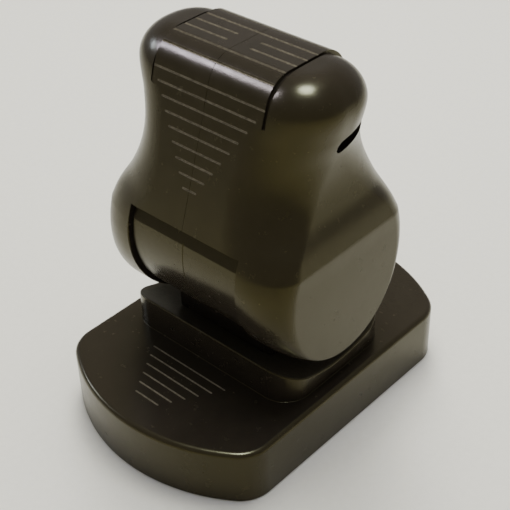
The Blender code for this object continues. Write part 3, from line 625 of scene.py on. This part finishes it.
def band_height(y):
    """Height of the band's surface at a distance in front of or behind the axis."""
    profile = [(abs(a), b) for a, b in band_profile()[:18]]
    for (y0, z0), (y1, z1) in zip(profile, profile[1:]):
        if y1 <= abs(y) <= y0:
            return z0 + (z1 - z0) * (y0 - abs(y)) / (y0 - y1)
    return HORN_TOP + BAND_PROUD


def band_slits():
    """Thin slits that part the band's ends from the rounded head."""
    width, depth = BAND_SLIT
    outer, inner = band_profile(MM), band_profile(-depth)
    loop = [(y, z) for y, z in outer] + [(y, z) for y, z in reversed(inner)]
    slits = []
    for side in (-1, 1):
        start = side * (BAND_HALF_WIDTH - SLIT_OVERLAP)
        slits.append(loft([[(x, y, z) for y, z in loop] for x in (start, start + side * width)]))
    return merged(slits)


def head_band():
    steps = 26
    return loft([[(BAND_HALF_WIDTH * (2 * i / steps - 1), y, z) for y, z in band_profile()]
                 for i in range(steps + 1)])


def whole_outline(outset):
    """The horn's outline seen along the hinge axis, as (y, z) points from the foot round."""
    radius = HORN_RADIUS + outset
    angles = [math.radians(2 + 88 * i / 40) for i in range(40)]
    front = [(-radius * math.sin(a), AXIS_HEIGHT - radius * math.cos(a)) for a in angles]
    front += [(-horn_depth(AXIS_HEIGHT + z * MM, -outset), AXIS_HEIGHT + z * MM)
              for z in (0, 1.5, 3, 4.5, 6, 12, 18, 24)]
    band = band_profile(outset)
    middle = len(band) // 2
    front += band[1:middle]
    return front + [(-y, z) for y, z in reversed(front)]


def seam_plug(side):
    """Everything on one side of the parting line, with a fine chamfer along the line."""
    far = 6 * MM
    steps = ((SEAM, -SEAM_CHAMFER), (SEAM + 2 * SEAM_CHAMFER, SEAM_CHAMFER),
             (SEAM + 2.1 * SEAM_CHAMFER, far), (40 * MM, far))
    return loft([[(side * x, y, z) for y, z in whole_outline(outset)] for x, outset in steps])


def horn_grooves():
    cutters = []
    first, last = FACE_GROOVE_HALF
    for i in range(FACE_GROOVES):
        half = first + (last - first) * i / (FACE_GROOVES - 1)
        z = FACE_GROOVE_TOP - FACE_GROOVE_PITCH * i
        depth = band_depth(z) if z > BAND_FOOT else horn_depth(z)
        cutters.append(groove(half, (0.0, -depth, z), math.pi / 2 - HORN_TAPER))
    for i in range(TOP_GROOVES):
        y = TOP_GROOVE_FIRST + TOP_GROOVE_PITCH * i
        z = band_height(y)
        lean = math.acos(1 - (HORN_TOP + BAND_PROUD - z) / BAND_ROUND)
        if i in TOP_GROOVES_SPLIT:
            half = (TOP_GROOVE_HALF - PAD_HALF) / 2
            for side in (-1, 1):
                place = (side * (PAD_HALF + half), y, z)
                cutters.append(groove(half, place, lean, TOP_GROOVE_SIZE))
        else:
            cutters.append(groove(TOP_GROOVE_HALF, (0.0, y, z), lean, TOP_GROOVE_SIZE))
    return merged(cutters)


def window():
    """The opening for the barrel and the neck, flared where it breaks the surface."""
    half, flare = WINDOW_HALF_WIDTH, WINDOW_CHAMFER
    near, far = HORN_RADIUS - flare, HORN_RADIUS + flare
    loop = [(half, 0.5 * MM), (half, near), (half + 2 * flare, far), (half + 2 * flare, 32 * MM)]
    loop += [(-x, r) for x, r in reversed(loop)]
    opening = turned_about_x(loop, AXIS_HEIGHT, steps=160)
    top_edge = horn_depth(WINDOW_TOP)
    section = [(0.0, WINDOW_TOP), (top_edge - flare, WINDOW_TOP),
               (top_edge + flare, WINDOW_TOP + 2 * flare), (40 * MM, WINDOW_TOP + 2 * flare),
               (40 * MM, -10 * MM)]
    section += [(-y, z) for y, z in reversed(section[1:])]
    below = loft([[(x, y, z) for y, z in section] for x in (-20 * MM, 20 * MM)])
    combine(opening, below, "INTERSECT")
    core = box((-half, -10 * MM, 15 * MM), (half, 10 * MM, WINDOW_TOP - MM))
    join(opening, core)
    drum = along_x(BARREL_RADIUS + BARREL_CLEARANCE, -half, half, (0.0, AXIS_HEIGHT), 160)
    return opening, drum


def shell_void(side):
    """The hollow inside a shell, less its bosses and the detent rib."""
    void = horn_solid(SHELL_WALL, 12, 20, 8, 10)
    for y, z, _ in SHELL_SCREWS:
        cut(void, along_x(BOSS_RADIUS, side * -2 * MM, side * 25 * MM, (y, z), 32))
    cut(void, along_x(BOSS_RADIUS, side * -2 * MM, side * 10 * MM, DOWEL_PLACE, 32))
    cut(void, along_x(FLANGE_RADIUS, side * FLANGE_SEAT, side * 25 * MM, (0.0, AXIS_HEIGHT)))
    rib_radius = HORN_RADIUS + DETENT_RIB_RISE
    cut(void, along_x(rib_radius, -DETENT_RIB_HALF, DETENT_RIB_HALF, (0.0, AXIS_HEIGHT), 64))
    return void


def detent_notches():
    pockets = []
    reach = BARREL_RADIUS + BARREL_CLEARANCE - BALL_SUNK
    for degrees in DETENT_STEPS:
        lean = math.radians(degrees)
        centre = (0.0, reach * math.sin(lean), AXIS_HEIGHT + reach * math.cos(lean))
        bm = bmesh.new()
        bmesh.ops.create_icosphere(bm, subdivisions=3, radius=BALL_RADIUS,
                                   matrix=Matrix.Translation(centre))
        pockets.append(from_bmesh(bm, "pocket"))
    return merged(pockets)


def shoulder_slot(side):
    """A slot with round ends, round the rear of the shoulder."""
    radius = SLOT_WIDTH / 2
    outline = arc((0.0, 0.0), radius, math.pi / 2, 3 * math.pi / 2, 12)
    outline += arc((SLOT_REACH, 0.0), radius, -math.pi / 2, math.pi / 2, 12)
    slot = loft([[(side * x, y, z) for y, z in outline] for x in (15 * MM, 30 * MM)])
    tilt = Matrix.Rotation(SLOT_TILT, 4, "X")
    slot.data.transform(Matrix.Translation((0, 0, SLOT_HEIGHT)) @ tilt)
    return slot


def shell_holes(side):
    """Blind hinge bore, dowel hole and screw holes of one shell."""
    pin_end = side * (PIN_HALF_LENGTH + GAP)
    holes = [along_x(PIN_RADIUS, side * 13 * MM, pin_end, (0.0, AXIS_HEIGHT)),
             along_x(DOWEL_HOLE_RADIUS, -side * MM, side * 6.5 * MM, DOWEL_PLACE, 24)]
    for y, z, seat in SHELL_SCREWS:
        if side > 0:
            holes.append(along_x(INSERT_RADIUS, -MM, SCREW_END + GAP, (y, z), 32))
        else:
            shank = along_x(SCREW_RADIUS + GAP, -seat - MM, MM, (y, z), 32)
            head = along_x(SCREW_HEAD_RADIUS + GAP, -seat, -30 * MM, (y, z), 32)
            holes.append(join(shank, head))
    return merged(holes)


def make_shell(side):
    shell = horn_solid(0.0, 30, 73, 24, 24)
    join(shell, head_band())
    combine(shell, seam_plug(side), "INTERSECT")
    cut(shell, band_slits(), horn_grooves(), shell_void(side), *window(), detent_notches())
    return cut(shell, shoulder_slot(side), shell_holes(side))


# ---------------------------------------------------------------- materials

def material(name):
    mat = bpy.data.materials.new(name)
    mat.use_nodes = True
    nodes = mat.node_tree.nodes
    return mat, nodes, mat.node_tree.links, nodes["Principled BSDF"]


def noise(nodes, links, coords, scale, detail=3.0, rough=0.5):
    node = nodes.new("ShaderNodeTexNoise")
    node.inputs["Scale"].default_value = scale
    node.inputs["Detail"].default_value = detail
    node.inputs["Roughness"].default_value = rough
    links.new(coords, node.inputs["Vector"])
    return node.outputs["Fac"]


def ramp(nodes, links, factor, stops):
    node = nodes.new("ShaderNodeValToRGB")
    elements = node.color_ramp.elements
    while len(elements) < len(stops):
        elements.new(0.5)
    for element, (place, colour) in zip(elements, stops):
        element.position = place
        element.color = (*colour, 1.0)
    links.new(factor, node.inputs["Fac"])
    return node.outputs["Color"]


def spread(nodes, links, factor, low, high):
    """Map a 0 to 1 pattern onto a range of values."""
    node = nodes.new("ShaderNodeMapRange")
    node.inputs["To Min"].default_value = low
    node.inputs["To Max"].default_value = high
    links.new(factor, node.inputs["Value"])
    return node.outputs["Result"]


def bump(nodes, links, factor, distance, before=None):
    node = nodes.new("ShaderNodeBump")
    node.inputs["Distance"].default_value = distance
    node.inputs["Strength"].default_value = 1.0
    links.new(factor, node.inputs["Height"])
    if before is not None:
        links.new(before, node.inputs["Normal"])
    return node.outputs["Normal"]


def moulded_plastic():
    """Glossy dark brown plastic: an olive sheen, fine grain, flow marks, and painted light where
    marked: pale matt groove lines as painted highlights, a paler saddle seat as painted fill.
    """
    mat, nodes, links, shader = material("moulded_plastic")
    coords = nodes.new("ShaderNodeTexCoord").outputs["Object"]
    attribute = nodes.new("ShaderNodeAttribute")
    attribute.attribute_name = "dust"
    dust = attribute.outputs["Fac"]

    flow = noise(nodes, links, coords, 90.0, 4.0, 0.6)
    brown = ramp(nodes, links, flow,
                 ((0.3, (0.0160, 0.0128, 0.0102)), (0.7, (0.0210, 0.0168, 0.0134))))
    speck = noise(nodes, links, coords, 1500.0, 3.0, 0.7)
    # painted light: a pale speckled colour, painting highlight lines in the grooves and fill in the
    # saddle's shade
    painted_light_colour = ramp(nodes, links, speck,
                 ((0.25, (0.085, 0.076, 0.055)), (0.75, (0.220, 0.198, 0.150))))
    mix = nodes.new("ShaderNodeMix")
    mix.data_type = "RGBA"
    links.new(dust, mix.inputs["Factor"])
    links.new(brown, mix.inputs["A"])
    links.new(painted_light_colour, mix.inputs["B"])
    links.new(mix.outputs["Result"], shader.inputs["Base Color"])

    haze = noise(nodes, links, coords, 420.0, 5.0, 0.65)
    matt = nodes.new("ShaderNodeMath")
    matt.operation = "MAXIMUM"
    matt.use_clamp = True
    links.new(spread(nodes, links, haze, 0.17, 0.33), matt.inputs[0])
    links.new(spread(nodes, links, dust, 0.0, 3.0), matt.inputs[1])
    links.new(matt.outputs["Value"], shader.inputs["Roughness"])
    # faces with painted light lose their gloss as well
    links.new(spread(nodes, links, dust, 0.5, 0.0), shader.inputs["Specular IOR Level"])
    shader.inputs["Specular Tint"].default_value = (1.0, 0.88, 0.27, 1.0)
    shader.inputs["IOR"].default_value = 1.41

    grain = noise(nodes, links, coords, 2600.0, 2.0)
    waviness = noise(nodes, links, coords, 160.0, 2.0)
    normal = bump(nodes, links, waviness, 0.00005)
    links.new(bump(nodes, links, grain, 0.000009, normal), shader.inputs["Normal"])
    return mat


def machined_metal(name, colour, roughness, scale):
    """Turned or rolled metal: fine streaks in its roughness, slight stain in its colour."""
    mat, nodes, links, shader = material(name)
    coords = nodes.new("ShaderNodeTexCoord").outputs["Object"]
    stain = noise(nodes, links, coords, 260.0, 4.0)
    dark = tuple(c * 0.82 for c in colour)
    links.new(ramp(nodes, links, stain, ((0.3, dark), (0.7, colour))), shader.inputs["Base Color"])
    streaks = noise(nodes, links, coords, scale, 4.0)
    rough = spread(nodes, links, streaks, roughness * 0.75, roughness * 1.3)
    links.new(rough, shader.inputs["Roughness"])
    links.new(bump(nodes, links, streaks, 0.000008), shader.inputs["Normal"])
    shader.inputs["Metallic"].default_value = 1.0
    return mat


def soft_moulding(name, colour, roughness, scale, depth):
    """Matte rubber or acetal with a granular skin."""
    mat, nodes, links, shader = material(name)
    coords = nodes.new("ShaderNodeTexCoord").outputs["Object"]
    cloud = noise(nodes, links, coords, 180.0, 3.0)
    pale = tuple(c * 1.25 for c in colour)
    links.new(ramp(nodes, links, cloud, ((0.3, colour), (0.75, pale))), shader.inputs["Base Color"])
    grain = noise(nodes, links, coords, scale, 3.0)
    rough = spread(nodes, links, grain, roughness * 0.85, roughness * 1.1)
    links.new(rough, shader.inputs["Roughness"])
    links.new(bump(nodes, links, grain, depth), shader.inputs["Normal"])
    return mat


MATERIALS = {
    "body_plastic": moulded_plastic(),
    "acetal": soft_moulding("acetal_white", (0.60, 0.58, 0.53), 0.42, 1500.0, 0.00001),
    "rubber": soft_moulding("rubber_black", (0.016, 0.016, 0.016), 0.78, 2500.0, 0.00004),
    "stainless": machined_metal("stainless_steel", (0.62, 0.62, 0.61), 0.28, 2200.0),
    "spring_steel": machined_metal("spring_steel", (0.40, 0.40, 0.42), 0.34, 1600.0),
    "brass": machined_metal("turned_brass", (0.74, 0.54, 0.25), 0.30, 2400.0),
}


SHARP_ANGLE = math.radians(32)


def dress(obj, mat):
    obj.data.materials.clear()
    obj.data.materials.append(mat)


def piece(obj, name, body, node, slot):
    """Shade a finished piece, give it its material and tie it to the frame."""
    obj.name = name
    obj.data.shade_smooth()
    obj.data.set_sharp_from_angle(angle=SHARP_ANGLE)
    weigh = obj.modifiers.new("weigh", "WEIGHTED_NORMAL")
    weigh.keep_sharp = True
    weigh.weight = 100
    seen = obj.evaluated_get(bpy.context.evaluated_depsgraph_get())
    mesh = bpy.data.meshes.new_from_object(seen)
    obj.modifiers.clear()
    obj.data = mesh
    mesh.name = name
    # mark the faces that get painted highlight lines and painted fill
    mark_painted_light(mesh)
    dress(obj, MATERIALS[slot])
    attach(obj, body)
    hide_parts(node)


slots = {entry["node"]: entry["material_slot"] for entry in frame["record"]["subparts"]}
for node, obj in frame["nodes"].items():
    dress(obj, MATERIALS[slots[node]])

piece(make_base(), "base_moulding", "base", "base_plate", "body_plastic")
piece(make_knuckle(), "knuckle_barrel", "base", "knuckle", "body_plastic")
piece(make_shell(-1), "horn_half_left", "horn", "horn_shell_left", "body_plastic")
piece(make_shell(1), "horn_half_right", "horn", "horn_shell_right", "body_plastic")


# ---------------------------------------------------------------- stage

def floor():
    bm = bmesh.new()
    bmesh.ops.create_grid(bm, x_segments=1, y_segments=1, size=3.0)
    obj = from_bmesh(bm, "floor")
    mat, nodes, links, shader = material("pale_floor")
    coords = nodes.new("ShaderNodeTexCoord").outputs["Object"]
    paper = noise(nodes, links, coords, 700.0, 3.0)
    tones = ((0.2, (0.86, 0.85, 0.75)), (0.8, (0.90, 0.89, 0.79)))
    links.new(ramp(nodes, links, paper, tones), shader.inputs["Base Color"])
    shader.inputs["Roughness"].default_value = 0.9
    shader.inputs["Specular IOR Level"].default_value = 0.1
    dress(obj, mat)


def area_light(name, direction, distance, size, power, colour, mirrored=True, lit=True):
    """A round soft box aimed at the object; it can be kept out of gloss or out of matt light."""
    light = bpy.data.lights.new(name, "AREA")
    light.shape = "DISK"
    light.size = size
    light.energy = power
    light.color = colour
    obj = bpy.data.objects.new(name, light)
    aim = Vector((0.0, 0.0, 0.04))
    obj.location = aim + Vector(direction).normalized() * distance
    obj.rotation_euler = (aim - obj.location).to_track_quat("-Z", "Y").to_euler()
    obj.visible_glossy = mirrored
    obj.visible_diffuse = lit
    bpy.context.scene.collection.objects.link(obj)
    return obj


def shine_only_on(light, *names):
    """Keep a light's reflection to the named pieces."""
    chosen = bpy.data.collections.new(light.name + "_receivers")
    for name in names:
        chosen.objects.link(bpy.data.objects[name])
    light.light_linking.receiver_collection = chosen


def world(colour, strength):
    backdrop = bpy.data.worlds.new("studio")
    backdrop.use_nodes = True
    node = backdrop.node_tree.nodes["Background"]
    node.inputs["Color"].default_value = (*colour, 1.0)
    node.inputs["Strength"].default_value = strength
    bpy.context.scene.world = backdrop


def camera(azimuth, elevation, roll, distance, target, focal_length):
    """A camera on a sphere round its target; azimuth 0 looks along +Y."""
    data = bpy.data.cameras.new("camera")
    data.sensor_width = 36.0
    data.lens = focal_length
    data.clip_start = 0.01
    obj = bpy.data.objects.new("camera", data)
    turn, tilt = math.radians(azimuth), math.radians(elevation)
    back = Vector((math.sin(turn) * math.cos(tilt), -math.cos(turn) * math.cos(tilt),
                   math.sin(tilt)))
    obj.location = Vector(target) + back * distance
    look = back.to_track_quat("Z", "Y")
    spin = Matrix.Rotation(math.radians(roll), 4, "Z")
    obj.rotation_euler = (look.to_matrix().to_4x4() @ spin).to_euler()
    bpy.context.scene.collection.objects.link(obj)
    bpy.context.scene.camera = obj


floor()
world(colour=(1.0, 0.98, 0.97), strength=0.38)
area_light("top_box", direction=(-0.15, 0.25, 1.00), distance=0.45, size=0.36, power=2.6,
           colour=(1.0, 0.99, 0.97), mirrored=False)
area_light("rear_box", direction=(-0.55, 0.58, 0.70), distance=1.00, size=0.45, power=5.5,
           colour=(1.0, 0.98, 0.94), mirrored=False)
area_light("cap_box", direction=(0.10, -0.08, 1.00), distance=0.70, size=0.26, power=18.5,
           colour=(0.42, 0.49, 1.0), lit=False)
key_box = area_light("key_box", direction=(-0.61, -0.432, 0.663), distance=0.83, size=0.17,
                     power=8.5, colour=(0.40, 0.40, 1.0), lit=False)
area_light("left_box", direction=(-0.80, -0.30, 0.45), distance=0.60, size=0.14, power=1.4,
           colour=(0.50, 0.58, 1.0), lit=False)
shine_only_on(key_box, "horn_half_left", "horn_half_right")
camera(azimuth=43.32, elevation=36.72, roll=-1.64, distance=10.99 * BASE_HALF_WIDTH,
       target=(-1.092 * BASE_HALF_WIDTH, 1.161 * BASE_HALF_WIDTH, 0.0), focal_length=80.64)

bpy.context.view_layer.update()
